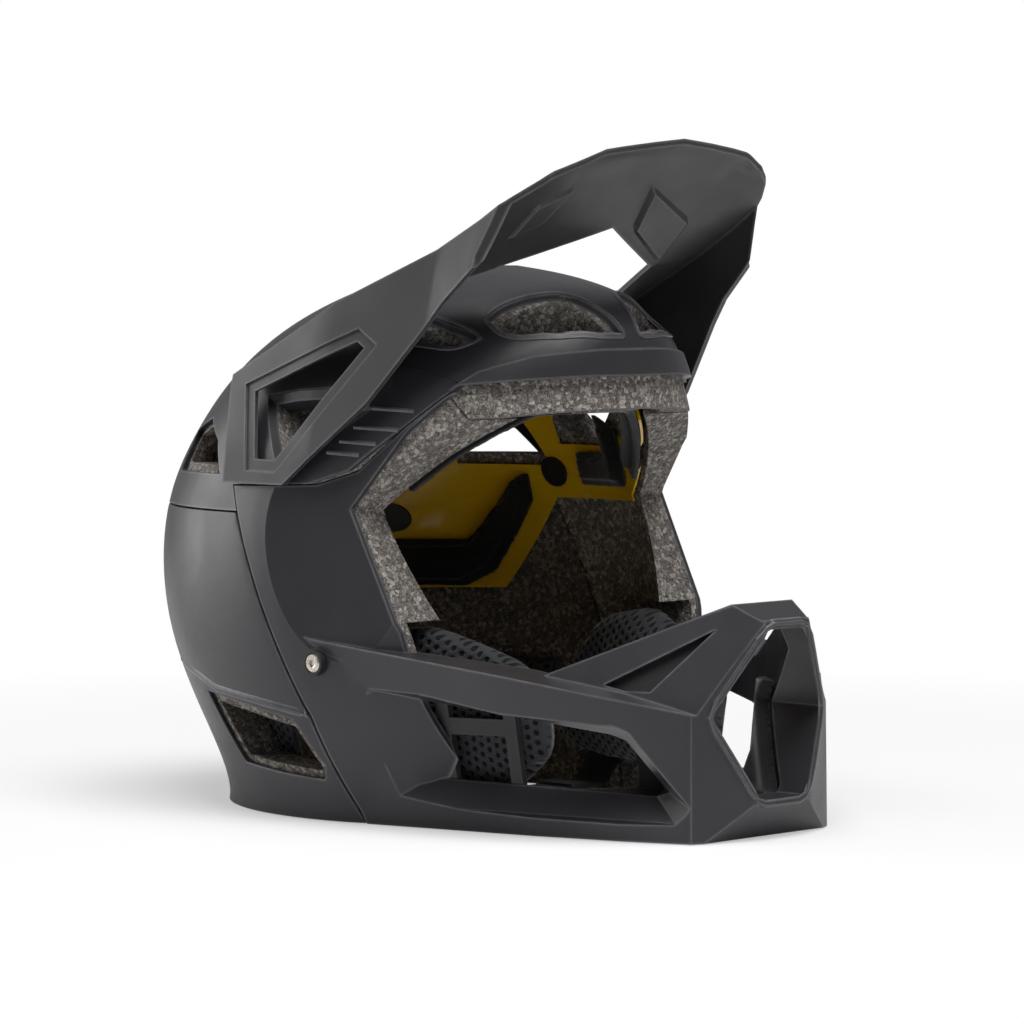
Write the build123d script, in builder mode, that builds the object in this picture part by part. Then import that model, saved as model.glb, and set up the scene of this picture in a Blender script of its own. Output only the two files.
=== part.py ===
"""Downhill bike full face helmet, as separate pieces in one frame.

The helmet faces -Y, stands on its base rim at Z = 0, and X points to the wearer's left.
Outlines are tables of shares: X of the half width, Y of the half length, Z of the crown height.
"""
import os
from build123d import *

os.makedirs("parts", exist_ok=True)

# Overall sizes, in millimetres
shell_length = 342.0
shell_width = 230.0
crown_height = 242.0
half_length = shell_length / 2
half_width = shell_width / 2
overrun = 60.0

# Walls and gaps
shell_wall = 2.5
foam_wall = 20.0
seam_gap = 0.7
liner_gap = 2.0
seat_gap = 0.3
liner_wall = 1.2

# Height of the widest level of the head form
waist_height = 106.0

# Levels of the head form: height, half width, front, rear and widest place, as shares
form_shares = (
    (0.000, 0.826, -0.351, 0.778, 0.164),
    (0.083, 0.890, -0.439, 0.766, 0.170),
    (0.198, 0.961, -0.497, 0.860, 0.175),
    (0.298, 0.991, -0.515, 0.947, 0.175),
    (0.438, 1.000, -0.515, 1.000, 0.175),
    (0.607, 0.957, -0.512, 0.957, 0.164),
    (0.748, 0.843, -0.503, 0.830, 0.140),
    (0.860, 0.675, -0.485, 0.661, 0.111),
    (0.933, 0.490, -0.392, 0.468, 0.070),
    (0.978, 0.287, -0.211, 0.281, 0.041),
    (0.998, 0.096, -0.053, 0.129, 0.035),
)
# Quarter of a level's outline: shares of its half width and of its reach
quarter_shares = ((1.000, 0.000), (0.935, 0.380), (0.732, 0.700), (0.405, 0.923), (0.000, 1.000))


def level_points(width, front, rear, middle):
    """Points round one level of the head form, from the left ear round the rear."""
    points = []
    for across, along in quarter_shares:
        points.append((across * width, middle + along * (rear - middle)))
    for across, along in quarter_shares[-2::-1]:
        points.append((-across * width, middle + along * (rear - middle)))
    for across, along in quarter_shares[1:]:
        points.append((-across * width, middle - along * (middle - front)))
    for across, along in quarter_shares[-2:0:-1]:
        points.append((across * width, middle - along * (middle - front)))
    return points


def head_form(inset, below=0.0):
    """Solid head form, drawn in by an inset and carried on below the base."""
    with BuildPart() as form:
        shrink = (half_width - inset) / half_width
        for level, (rise, width, front, rear, middle) in enumerate(form_shares):
            height = rise * crown_height
            mid = middle * half_length
            if height > waist_height:
                cap = crown_height - waist_height
                height = waist_height + (height - waist_height) * (cap - inset) / cap
                outline = (width * half_width * shrink, mid + (front * half_length - mid) * shrink,
                           mid + (rear * half_length - mid) * shrink, mid)
            else:
                outline = (width * half_width - inset, front * half_length + inset,
                           rear * half_length - inset, mid)
            if level == 0:
                height = -below
            with BuildSketch(Plane.XY.offset(height)):
                with BuildLine():
                    Spline(*level_points(*outline), periodic=True)
                make_face()
        loft()
    return form.part


def side_prism(outline_shares, grow=0.0):
    """Prism across the whole helmet from an outline in the side view."""
    with BuildPart() as prism:
        with BuildSketch(Plane.YZ):
            with BuildLine():
                Polyline(*[(y * half_length, z * crown_height) for y, z in outline_shares], close=True)
            make_face()
            if grow:
                offset(amount=grow, kind=Kind.INTERSECTION)
        extrude(amount=shell_width, both=True)
    return prism.part


def mirrored_plan(outline_shares):
    """Closed plan outline from the points of its left half."""
    left = [(x * half_width, y * half_length) for x, y in outline_shares]
    right = [(-x, y) for x, y in reversed(left)]
    return left + right


def plan_loft(top_shares, bottom_shares, top, bottom, inset=0.0):
    """Ruled solid between a plan outline at the top and one at the bottom."""
    with BuildPart() as body:
        for outline_shares, height in ((bottom_shares, bottom), (top_shares, top)):
            with BuildSketch(Plane.XY.offset(height)):
                with BuildLine():
                    Polyline(*mirrored_plan(outline_shares), close=True)
                make_face()
                if inset:
                    offset(amount=-inset, kind=Kind.INTERSECTION)
        loft(ruled=True)
    return body.part


# Outlines in the side view
port_shares = ((-0.053, 0.566), (-0.211, 0.351), (-0.240, 0.248), (-0.351, -0.025),
               (-1.520, -0.025), (-1.520, 0.802), (-0.485, 0.802), (-0.281, 0.787), (-0.175, 0.694))
front_region_shares = ((-0.281, 0.787), (-0.251, 0.769), (-0.185, 0.718), (-0.063, 0.635),
                       (0.046, 0.610), (0.327, 0.603), (0.185, 0.393), (0.058, 0.215),
                       (0.041, 0.194), (-0.053, -0.025), (-1.520, -0.025), (-1.520, 0.787))
rear_region_shares = ((0.295, 0.556), (0.185, 0.393), (0.058, 0.215), (0.041, 0.194),
                      (-0.053, -0.025), (1.520, -0.025), (1.520, 0.552))
# Foam port: tighter than the shell's, so the speckled edge of the foam shows as a rim
foam_port_shares = ((-0.064, 0.562), (-0.211, 0.351), (-0.240, 0.248), (-0.351, -0.025), (-1.520, -0.025),
                    (-1.520, 0.744), (-0.485, 0.744), (-0.304, 0.727), (-0.199, 0.661))
# The front foam stops at the corner of the port, and the crown foam carries the brow
foam_region_shares = ((-0.304, 0.727), (-0.251, 0.769), (-0.185, 0.718), (-0.063, 0.635), (0.046, 0.610),
                      (0.327, 0.603), (0.185, 0.393), (0.058, 0.215), (0.041, 0.194), (-0.053, -0.025),
                      (-1.520, -0.025), (-1.520, 0.727))
# Behind the port line the chin bar is hollowed out for the head form
hollow_shares = ((-0.053, 0.566), (-0.211, 0.351), (-0.240, 0.248), (-0.351, -0.025), (-0.351, -0.500),
                 (1.520, -0.500), (1.520, 1.200), (-0.053, 1.200))


# Chin bar: plan outlines at its top and bottom levels, and its profiles
chin_top_height = 104.0
foam_step_height = 89.0
chin_top_shares = ((1.026, 0.234), (1.024, 0.023), (0.948, -0.515), (0.726, -0.749),
                   (0.375, -0.906), (0.122, -1.000))
chin_bottom_shares = ((0.826, 0.164), (0.800, 0.023), (0.600, -0.515), (0.487, -0.749),
                      (0.383, -0.912), (0.157, -0.982))
mouth_top_shares = ((0.765, 0.029), (0.817, -0.211), (0.609, -0.577), (0.171, -0.915))
mouth_bottom_shares = ((0.661, 0.029), (0.643, -0.211), (0.452, -0.573), (0.139, -0.889))
ledge_shares = ((0.240, 0.370), (0.020, 0.335), (-0.515, 0.293), (-0.749, 0.258), (-0.906, 0.225),
                (-1.100, 0.190), (-0.697, -0.250), (0.240, -0.250))
nose_shares = ((-0.520, 0.262), (-0.577, 0.290), (-0.915, 0.411), (-0.988, 0.384), (-1.100, 0.384),
               (-1.100, 0.165), (-0.520, 0.165))
# The nose's side facet: a point on it, in shares, and its outward direction
nose_corner_share = (0.377, -0.906, 0.215)
nose_facing_share = (0.786, -0.491, 0.378)
# Front vent, seen from the front: shares of the half width and of the crown height
hex_vent_shares = ((0.103, 0.368), (0.308, 0.219), (0.128, 0.070))
# Side vent of the chin bar: its plane, and its outlines there in shares of half length and crown height
vent_plane_share = (0.696, -0.468, 0.157)
vent_facing_share = (0.901, -0.330, -0.280)
vent_rearward_share = (0.344, 0.939, 0.000)
vent_mouth_shares = ((0.487, 0.070), (0.414, 0.110), (-0.306, 0.051), (-0.349, 0.038),
                     (-0.495, -0.101), (-0.445, -0.128), (0.337, -0.119))
vent_throat_shares = ((0.319, 0.045), (0.280, 0.070), (-0.273, 0.016), (-0.312, 0.006),
                      (-0.412, -0.088), (-0.378, -0.097), (0.230, -0.083))
vent_rim_depth = 10.5


def facing_plane(corner, facing, side, inset):
    """Plane of the nose's side facet on one side, drawn in by an inset."""
    x, y, z = corner
    a, b, c = facing
    origin = Vector(side * x * half_width, y * half_length, z * crown_height)
    direction = Vector(side * a, b, c).normalized()
    return Plane(origin=origin - direction * inset, z_dir=direction)


def chin_form(inset):
    """Solid of the chin bar without its mouth space, drawn in by an inset."""
    with BuildPart() as nose:
        add(side_prism(nose_shares, -inset))
        for side in (-1, 1):
            split(bisect_by=facing_plane(nose_corner_share, nose_facing_share, side, inset),
                  keep=Keep.BOTTOM)
    with BuildPart() as profile:
        add(side_prism(ledge_shares, -inset))
        add(nose.part)
    with BuildPart() as bar:
        add(plan_loft(chin_top_shares, chin_bottom_shares, chin_top_height, inset, inset))
        add(profile.part, mode=Mode.INTERSECT)
    return bar.part


def mouth_space(grow):
    """Space behind the chin bar, grown by a wall or drawn in, and open below."""
    with BuildPart() as space:
        add(plan_loft(mouth_top_shares, mouth_bottom_shares, chin_top_height, 0, -grow))
        extrude(space.faces().sort_by(Axis.Z)[0], amount=overrun)
    return space.part


def hex_vent(grow):
    """Front vent, along Y."""
    points = [(x * half_width, z * crown_height) for x, z in hex_vent_shares]
    points += [(-x, z) for x, z in reversed(points)]
    with BuildPart() as vent:
        with BuildSketch(Plane.XZ.offset(half_length / 2)):
            with BuildLine():
                Polyline(*points, close=True)
            make_face()
            if grow:
                offset(amount=grow, kind=Kind.INTERSECTION)
        extrude(amount=half_length)
    return vent.part


def side_vent(grow):
    """Left side vent of the chin bar: a bevelled mouth that narrows to a throat."""
    x, y, z = vent_plane_share
    wall = Plane(origin=(x * half_width, y * half_length, z * crown_height),
                 x_dir=vent_rearward_share, z_dir=vent_facing_share)
    runs = ((vent_throat_shares, -vent_rim_depth, -overrun), (vent_mouth_shares, 0, vent_rim_depth))
    with BuildPart() as vent:
        for outline_shares, out, run in runs:
            with BuildSketch(wall.offset(out)):
                with BuildLine():
                    Polyline(*[(u * half_length, v * crown_height) for u, v in outline_shares], close=True)
                make_face()
                if grow:
                    offset(amount=grow, kind=Kind.INTERSECTION)
        loft(ruled=True)
        for outline_shares, out, run in runs:
            with BuildSketch(wall.offset(out)):
                with BuildLine():
                    Polyline(*[(u * half_length, v * crown_height) for u, v in outline_shares], close=True)
                make_face()
                if grow:
                    offset(amount=grow, kind=Kind.INTERSECTION)
            extrude(amount=run)
    return vent.part


# Vents of the head shells. Top vents are seen from above (half width, half length),
# side vents from the side (half length, crown height).
brow_vent_shares = ((0.447, -0.257), (0.387, -0.263), (0.288, -0.287), (0.139, -0.332), (0.070, -0.435),
                    (0.047, -0.472), (0.148, -0.459), (0.296, -0.414), (0.414, -0.351), (0.453, -0.306))
front_vent_shares = ((0.660, 0.090), (0.545, 0.090), (0.531, -0.181), (0.503, -0.280), (0.584, -0.220),
                     (0.642, -0.071))
window_vent_shares = ((0.290, 0.762), (0.175, 0.774), (0.059, 0.779), (-0.035, 0.770), (-0.081, 0.744),
                      (0.069, 0.657), (0.180, 0.651))
quarter_vent_shares = ((0.691, 0.616), (0.688, 0.690), (0.561, 0.716), (0.460, 0.678), (0.399, 0.619))
nape_vent_shares = ((0.461, 0.220), (0.263, 0.204), (0.100, 0.185), (0.029, 0.104), (0.041, 0.079),
                    (0.175, 0.085), (0.336, 0.096))
crown_vent_shares = ((0.300, 0.120), (0.120, 0.120), (0.120, 0.480), (0.240, 0.440))
rear_vent_shares = ((0.380, 0.620), (0.160, 0.660), (0.160, 0.800), (0.300, 0.780), (0.380, 0.700))
foam_rim = 3.5


def top_vents(outline_shares, grow):
    """A pair of vents, one each side, straight down through the crown."""
    with BuildPart() as vents:
        with BuildSketch(Plane.XY.offset(waist_height)):
            with BuildLine():
                Polyline(*[(x * half_width, y * half_length) for x, y in outline_shares], close=True)
            make_face()
            if grow:
                offset(amount=grow, kind=Kind.INTERSECTION)
            mirror(about=Plane.YZ)
        extrude(amount=crown_height)
    return vents.part


def crown_vents(grow):
    """Cutters of the vents that open upward."""
    outlines = (brow_vent_shares, front_vent_shares, crown_vent_shares, rear_vent_shares)
    return [top_vents(shares, grow) for shares in outlines]


def all_vents(grow):
    """Cutters of every vent of the head form."""
    cutters = crown_vents(grow)
    cutters += [side_prism(shares, grow) for shares in (window_vent_shares, quarter_vent_shares, nape_vent_shares)]
    return cutters


# Cheek facet: a flat that runs from the cheek crease in to the port, by a point and its facing
cheek_corner_share = (0.990, 0.170, 0.508)
cheek_facing_share = (0.947, -0.298, 0.123)


def cut_facets(form, inset):
    """Head form with its cheek facets cut flat."""
    with BuildPart() as cut:
        add(form)
        for side in (-1, 1):
            split(bisect_by=facing_plane(cheek_corner_share, cheek_facing_share, side, inset),
                  keep=Keep.BOTTOM)
    return cut.part


def side_pins(radius, near, far, place):
    """A pin along X on each side, from one distance off the middle to another."""
    with BuildPart() as pins:
        for side in (-1, 1):
            with BuildSketch(Plane.YZ.offset(side * near)):
                with Locations(place):
                    Circle(radius)
            extrude(amount=side * (far - near))
    return pins.part


def left_half(part):
    """The wearer's left half of a piece."""
    return split(part, bisect_by=Plane.YZ, keep=Keep.TOP, mode=Mode.PRIVATE)


# Strap bolts and the seats of their rings: place in the side view, and sizes
bolt_share = (0.004, 0.293)
bolt_place = (bolt_share[0] * half_length, bolt_share[1] * crown_height)
bolt_radius = 2.5
bolt_head_radius = 4.2
bolt_cap_radius = 4.2
bolt_cap_height = 1.4
bolt_ring_radius = 5.6
bolt_seat = 110.4
bolt_ring_height = 3.0
bolt_head_height = 2.4
fit_clearance = 0.05

# Visor pivots: a boss through the upper shell and a stub in the visor's bracket
pivot_share = (0.310, 0.632)
pivot_place = (pivot_share[0] * half_length, pivot_share[1] * crown_height)
pivot_boss_radius = 6.0
pivot_stub_radius = 3.0
pivot_clearance = 0.08
pivot_inner = 103.0
pivot_outer = 109.4

# Forms that several pieces share
foam_inset = shell_wall + foam_wall
outer_form = head_form(0)
shell_inner_form = head_form(shell_wall, overrun)
foam_outer_form = split(shell_inner_form, bisect_by=Plane.XY, keep=Keep.TOP)
foam_inner_form = head_form(foam_inset, overrun)
mouth = mouth_space(0)
shell_vents = all_vents(0)
foam_vents = all_vents(-foam_rim)
front_region = side_prism(front_region_shares)
rear_region = side_prism(rear_region_shares)
front_moulding = side_prism(front_region_shares, -seam_gap)
rear_moulding = side_prism(rear_region_shares, -seam_gap)
bolt_hole = side_pins(bolt_radius + fit_clearance, half_width / 2, half_width + overrun, bolt_place)
ring_seat = side_pins(bolt_ring_radius, bolt_seat, half_width + overrun, bolt_place)
pivot_hole = side_pins(pivot_boss_radius, pivot_inner, half_width + overrun, pivot_place)
left_vent = side_vent(0)
left_vent_hole = side_vent(shell_wall)

# Brow band: the raised strip above the port, in the side view
brow_band_shares = ((-0.262, 0.780), (-0.310, 0.812), (-0.400, 0.838), (-0.485, 0.850), (-0.620, 0.850),
                    (-0.620, 0.760))
brow_band_rise = 1.6
with BuildPart() as brow_band:
    add(head_form(-brow_band_rise))
    add(shell_inner_form, mode=Mode.SUBTRACT)
    add(side_prism(brow_band_shares), mode=Mode.INTERSECT)

# Upper shell: crown, brow band and temples
with BuildPart() as upper_shell:
    add(outer_form)
    add(shell_inner_form, mode=Mode.SUBTRACT)
    add(brow_band.part)
    add(front_region, mode=Mode.SUBTRACT)
    add(rear_region, mode=Mode.SUBTRACT)
    add(side_prism(port_shares), mode=Mode.SUBTRACT)
    for vent in shell_vents:
        add(vent, mode=Mode.SUBTRACT)
    add(pivot_hole, mode=Mode.SUBTRACT)

# Rear shell: wraps the nape up to the horizontal seam
with BuildPart() as rear_shell:
    add(outer_form)
    add(shell_inner_form, mode=Mode.SUBTRACT)
    add(rear_moulding, mode=Mode.INTERSECT)
    for vent in shell_vents:
        add(vent, mode=Mode.SUBTRACT)

# Cheeks: the thin side walls between the port and the seam
facet_form = cut_facets(outer_form, 0)
cheek_foam_form = split(head_form(shell_wall + seat_gap, overrun), bisect_by=Plane.XY, keep=Keep.TOP)
facet_inner_form = cut_facets(cheek_foam_form, shell_wall + seat_gap)
with BuildPart() as cheeks:
    add(facet_form)
    add(cut_facets(shell_inner_form, shell_wall), mode=Mode.SUBTRACT)
    add(front_moulding, mode=Mode.INTERSECT)
    add(side_prism(port_shares), mode=Mode.SUBTRACT)
    add(mouth, mode=Mode.SUBTRACT)

# Slot on each side of the nose, with a rubber insert at the bottom of its recess
slot_shares = ((-0.047, 0.165), (0.106, 0.050), (0.168, 0.051), (0.222, 0.061))
slot_along_share = (0.530, 0.848, 0.000)
slot_depth = 5.0
insert_wall = 1.5


def slot_block(near, far, grow=0.0):
    """Block of the left slot between two depths under the nose's side facet."""
    x, y, z = nose_corner_share
    facet = Plane(origin=(x * half_width, y * half_length, z * crown_height),
                  x_dir=slot_along_share, z_dir=nose_facing_share)
    with BuildPart() as block:
        with BuildSketch(facet.offset(-far)):
            with BuildLine():
                Polyline(*[(u * half_length, v * crown_height) for u, v in slot_shares], close=True)
            make_face()
            if grow:
                offset(amount=grow, kind=Kind.INTERSECTION)
        extrude(amount=far - near)
    return block.part


left_slot = slot_block(-overrun, slot_depth)
left_slot_hole = slot_block(-overrun, slot_depth + shell_wall, shell_wall)

# Chin foam: fills the hollow of the chin bar
with BuildPart() as head_hollow:
    add(shell_inner_form)
    add(side_prism(hollow_shares), mode=Mode.INTERSECT)
with BuildPart() as chin_foam:
    add(chin_form(shell_wall))
    add(mouth_space(shell_wall), mode=Mode.SUBTRACT)
    add(head_hollow.part, mode=Mode.SUBTRACT)
    add(hex_vent(shell_wall), mode=Mode.SUBTRACT)
    for cutter in (left_vent_hole, left_slot_hole):
        add(cutter, mode=Mode.SUBTRACT)
        add(cutter.mirror(Plane.YZ), mode=Mode.SUBTRACT)
    add(front_moulding, mode=Mode.INTERSECT)
    add(cheeks.part, mode=Mode.SUBTRACT)
    add(bolt_hole, mode=Mode.SUBTRACT)
    add(ring_seat, mode=Mode.SUBTRACT)

# Front shell: cheeks and chin bar in one moulding
with BuildPart() as front_shell:
    add(chin_form(0))
    add(mouth, mode=Mode.SUBTRACT)
    add(head_hollow.part, mode=Mode.SUBTRACT)
    add(hex_vent(0), mode=Mode.SUBTRACT)
    for cutter in (left_vent, left_slot):
        add(cutter, mode=Mode.SUBTRACT)
        add(cutter.mirror(Plane.YZ), mode=Mode.SUBTRACT)
    add(front_moulding, mode=Mode.INTERSECT)
    add(cheeks.part)
    add(chin_foam.part, mode=Mode.SUBTRACT)
    add(bolt_hole, mode=Mode.SUBTRACT)
    add(ring_seat, mode=Mode.SUBTRACT)

with BuildPart() as slot_insert_left:
    add(slot_block(slot_depth - insert_wall, slot_depth))

# Foam liners under the shells. A channel inside the foam joins the window vent and the quarter vent.
# The crown foam is moulded in two halves that meet in the middle.
foam_joint = 0.4
foam_channel_shares = ((0.250, 0.633), (0.670, 0.633), (0.668, 0.678), (0.561, 0.702), (0.250, 0.702))
with BuildPart() as foam_layer:
    add(foam_outer_form)
    add(foam_inner_form, mode=Mode.SUBTRACT)
    for vent in foam_vents:
        add(vent, mode=Mode.SUBTRACT)
    add(side_prism(foam_channel_shares), mode=Mode.SUBTRACT)
with BuildPart() as crown_foam:
    add(foam_layer.part)
    add(side_prism(foam_region_shares), mode=Mode.SUBTRACT)
    add(rear_region, mode=Mode.SUBTRACT)
    add(side_prism(foam_port_shares), mode=Mode.SUBTRACT)
    add(pivot_hole, mode=Mode.SUBTRACT)
with BuildPart() as crown_foam_left:
    add(crown_foam.part)
    split(bisect_by=Plane.YZ.offset(foam_joint / 2), keep=Keep.TOP)
with BuildPart() as rear_foam:
    add(foam_layer.part)
    add(rear_moulding, mode=Mode.INTERSECT)
with BuildPart() as cheek_foams:
    add(facet_inner_form)
    add(foam_inner_form, mode=Mode.SUBTRACT)
    add(side_prism(foam_region_shares, -seam_gap), mode=Mode.INTERSECT)
    add(side_prism(foam_port_shares), mode=Mode.SUBTRACT)
    add(split(mouth, bisect_by=Plane.XY.offset(foam_step_height), keep=Keep.BOTTOM, mode=Mode.PRIVATE),
        mode=Mode.SUBTRACT)
    add(left_vent, mode=Mode.SUBTRACT)
    add(left_vent.mirror(Plane.YZ), mode=Mode.SUBTRACT)
    add(bolt_hole, mode=Mode.SUBTRACT)
    add(ring_seat, mode=Mode.SUBTRACT)
with BuildPart() as cheek_foam_left:
    add(left_half(cheek_foams.part))

# Slip liner: a thin bowl inside the foam, on four capped pins. Its sides sweep down to the nape.
liner_inset = foam_inset + liner_gap
pin_seat_inset = liner_inset + liner_wall + seat_gap
liner_level_shares = ((-1.520, 0.560), (0.265, 0.550), (0.440, 0.370), (1.520, 0.350),
                      (1.520, -0.300), (-1.520, -0.300))
liner_window_shares = ((0.262, 0.612), (0.530, 0.612), (0.520, 0.690), (0.440, 0.735), (0.330, 0.735))
liner_side_shares = ((0.047, 0.655), (0.215, 0.655), (0.215, 0.700), (0.180, 0.750), (0.047, 0.750))
liner_port_grow = 2.0
pin_places_shares = ((0.250, 0.600), (0.708, 0.505))
pin_near_share = 0.300
pin_near = pin_near_share * half_width
pin_places = [(y * half_length, z * crown_height) for y, z in pin_places_shares]
pin_radius = 1.6
pin_travel = 2.8
pin_cap_radius = 7.0
pin_cap_height = 1.0

with BuildPart() as slip_liner:
    add(head_form(liner_inset, overrun))
    add(head_form(liner_inset + liner_wall, overrun), mode=Mode.SUBTRACT)
    add(side_prism(foam_port_shares, liner_port_grow), mode=Mode.SUBTRACT)
    add(side_prism(liner_level_shares), mode=Mode.SUBTRACT)
    for vent in crown_vents(0):
        add(vent, mode=Mode.SUBTRACT)
    for outline_shares in (liner_window_shares, liner_side_shares):
        add(side_prism(outline_shares), mode=Mode.SUBTRACT)
    for place in pin_places:
        add(side_pins(pin_radius + pin_travel, pin_near, half_width, place), mode=Mode.SUBTRACT)

pin_cap_form = head_form(pin_seat_inset, overrun)
with BuildPart() as pin_caps:
    for place in pin_places:
        add(side_pins(pin_cap_radius, pin_near, half_width, place))
    add(pin_cap_form, mode=Mode.INTERSECT)
with BuildPart() as liner_pins:
    for place in pin_places:
        add(side_pins(pin_radius, pin_near, half_width, place))
    add(foam_inner_form, mode=Mode.INTERSECT)
    add(pin_caps.part)
    add(head_form(pin_seat_inset + pin_cap_height, overrun), mode=Mode.SUBTRACT)

# Comfort pads on the liner: each has a full base layer and a drawn-in crown layer
pad_base = 3.6
pad_crown = 3.6
pad_draw = 3.5
brow_pad_shares = ((-0.700, 0.744), (-0.485, 0.744), (-0.304, 0.727), (-0.199, 0.661), (-0.105, 0.592),
                   (-0.060, 0.640), (-0.150, 0.715), (-0.270, 0.785), (-0.480, 0.812), (-0.700, 0.812))
side_pad_shares = ((-0.040, 0.575), (0.150, 0.575), (0.150, 0.640), (0.035, 0.645), (0.035, 0.720),
                   (-0.040, 0.690))
nape_pad_shares = ((1.100, 0.372), (0.538, 0.370), (0.460, 0.400), (0.330, 0.545), (0.330, 0.600),
                   (0.386, 0.582), (0.526, 0.466), (1.100, 0.455))
crown_pad_width = 22.0
crown_pad_share = (-0.260, 0.400)
pad_middle_form = head_form(pin_seat_inset + pad_base, overrun)
with BuildPart() as pad_base_layer:
    add(pin_cap_form)
    add(pad_middle_form, mode=Mode.SUBTRACT)
with BuildPart() as pad_crown_layer:
    add(pad_middle_form)
    add(head_form(pin_seat_inset + pad_base + pad_crown, overrun), mode=Mode.SUBTRACT)


def layered_pad(outline_shares, base_layer, crown_layer):
    """Pad with a wide base and a drawn-in crown, from an outline in the side view."""
    layers = []
    for layer, draw in ((base_layer, 0.0), (crown_layer, pad_draw)):
        with BuildPart() as cut:
            add(layer)
            add(side_prism(outline_shares, -draw), mode=Mode.INTERSECT)
        layers.append(cut.part)
    return layers


with BuildPart() as brow_pad:
    add(layered_pad(brow_pad_shares, pad_base_layer.part, pad_crown_layer.part))
with BuildPart() as nape_pad:
    add(layered_pad(nape_pad_shares, pad_base_layer.part, pad_crown_layer.part))
with BuildPart() as side_pads:
    add(layered_pad(side_pad_shares, pad_base_layer.part, pad_crown_layer.part))
with BuildPart() as side_pad_left:
    add(left_half(side_pads.part))
crown_layers = []
for layer, draw in ((pad_base_layer, 0.0), (pad_crown_layer, pad_draw)):
    front, rear = crown_pad_share
    with BuildPart() as strip:
        with BuildSketch(Plane.XY.offset(waist_height)):
            with Locations((0, (front + rear) / 2 * half_length)):
                SlotOverall((rear - front) * half_length - 2 * draw, crown_pad_width - 2 * draw, rotation=90)
        extrude(amount=crown_height)
        add(layer.part, mode=Mode.INTERSECT)
    crown_layers.append(strip.part)
with BuildPart() as crown_pad:
    add(crown_layers)

# Neck pads: mesh pads on the foam behind the nape vents
neck_pad_shares = ((0.260, 0.240), (0.260, 0.060), (0.560, 0.060), (0.620, 0.240))
neck_seat_form = head_form(foam_inset + seat_gap, overrun)
neck_middle_form = head_form(foam_inset + seat_gap + pad_base, overrun)
with BuildPart() as neck_base_layer:
    add(neck_seat_form)
    add(neck_middle_form, mode=Mode.SUBTRACT)
with BuildPart() as neck_crown_layer:
    add(neck_middle_form)
    add(head_form(foam_inset + seat_gap + pad_base + pad_crown, overrun), mode=Mode.SUBTRACT)
with BuildPart() as neck_pads:
    add(layered_pad(neck_pad_shares, neck_base_layer.part, neck_crown_layer.part))
with BuildPart() as neck_pad_left:
    add(left_half(neck_pads.part))

# Chin pad: lines the front of the mouth space round the front vent
chin_pad_base = 6.0
chin_pad_crown = 5.0
chin_pad_draw = 4.0
chin_pad_shares = ((-0.700, 0.262), (-0.700, 0.060), (-1.200, 0.060), (-1.200, 0.262))
chin_layers = []
for near, far, draw in ((seat_gap, seat_gap + chin_pad_base, 0.0),
                        (seat_gap + chin_pad_base, seat_gap + chin_pad_base + chin_pad_crown, chin_pad_draw)):
    with BuildPart() as layer:
        add(mouth_space(-near))
        add(mouth_space(-far), mode=Mode.SUBTRACT)
        add(side_prism(chin_pad_shares, -draw), mode=Mode.INTERSECT)
        add(hex_vent(seat_gap + draw), mode=Mode.SUBTRACT)
    chin_layers.append(layer.part)
with BuildPart() as chin_pad:
    add(chin_layers)

# Cheek pad carriers: a ladder of ribs against the inside of the chin bar
carrier_wall = 2.5
carrier_frame_shares = ((-0.090, 0.310), (-0.450, 0.274), (-0.450, 0.050), (-0.090, 0.050))
carrier_holes_shares = (((-0.120, 0.285), (-0.250, 0.270), (-0.250, 0.200), (-0.120, 0.200)),
                        ((-0.280, 0.267), (-0.420, 0.254), (-0.420, 0.200), (-0.280, 0.200)),
                        ((-0.120, 0.170), (-0.250, 0.170), (-0.250, 0.080), (-0.120, 0.080)),
                        ((-0.280, 0.170), (-0.420, 0.170), (-0.420, 0.080), (-0.280, 0.080)))
carrier_inner = mouth_space(-carrier_wall)
with BuildPart() as carriers:
    add(mouth)
    add(carrier_inner, mode=Mode.SUBTRACT)
    add(side_prism(carrier_frame_shares), mode=Mode.INTERSECT)
    for hole in carrier_holes_shares:
        add(side_prism(hole), mode=Mode.SUBTRACT)
with BuildPart() as cheek_carrier_left:
    add(left_half(carriers.part))

# Chin straps: flat webbing down the inside of each cheek and across under the chin
strap_width = 20.0
strap_wall = 1.6
strap_route_shares = ((0.712, 0.331), (0.712, 0.240), (0.690, 0.186), (0.628, 0.074), (0.542, 0.019),
                      (0.200, 0.019))
strap_bend = 9.0
strap_route = [(x * half_width, z * crown_height) for x, z in strap_route_shares]
strap_end, strap_level = strap_route[-1]
with BuildPart() as chin_strap_left:
    with BuildSketch(Plane.XZ.offset(-bolt_place[0] - strap_width / 2)):
        with BuildLine():
            FilletPolyline(*strap_route, radius=strap_bend)
        trace(line_width=strap_wall)
    extrude(amount=strap_width)
    add(bolt_hole, mode=Mode.SUBTRACT)

# Strap bolts: head in its ring outside, shank through the wall and the strap, cap inside the strap
strap_inner = strap_route[0][0] - strap_wall / 2
cap_outer = strap_inner - seat_gap
bolt_top = bolt_seat + bolt_head_height
with BuildPart() as strap_bolts:
    add(side_pins(bolt_radius, cap_outer, bolt_top, bolt_place))
    add(side_pins(bolt_head_radius, bolt_seat, bolt_top, bolt_place))
    add(side_pins(bolt_cap_radius, cap_outer - bolt_cap_height, cap_outer, bolt_place))
with BuildPart() as bolt_rings:
    add(side_pins(bolt_ring_radius, bolt_seat, bolt_seat + bolt_ring_height, bolt_place))
    add(side_pins(bolt_head_radius + fit_clearance, bolt_seat, half_width, bolt_place), mode=Mode.SUBTRACT)

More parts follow.
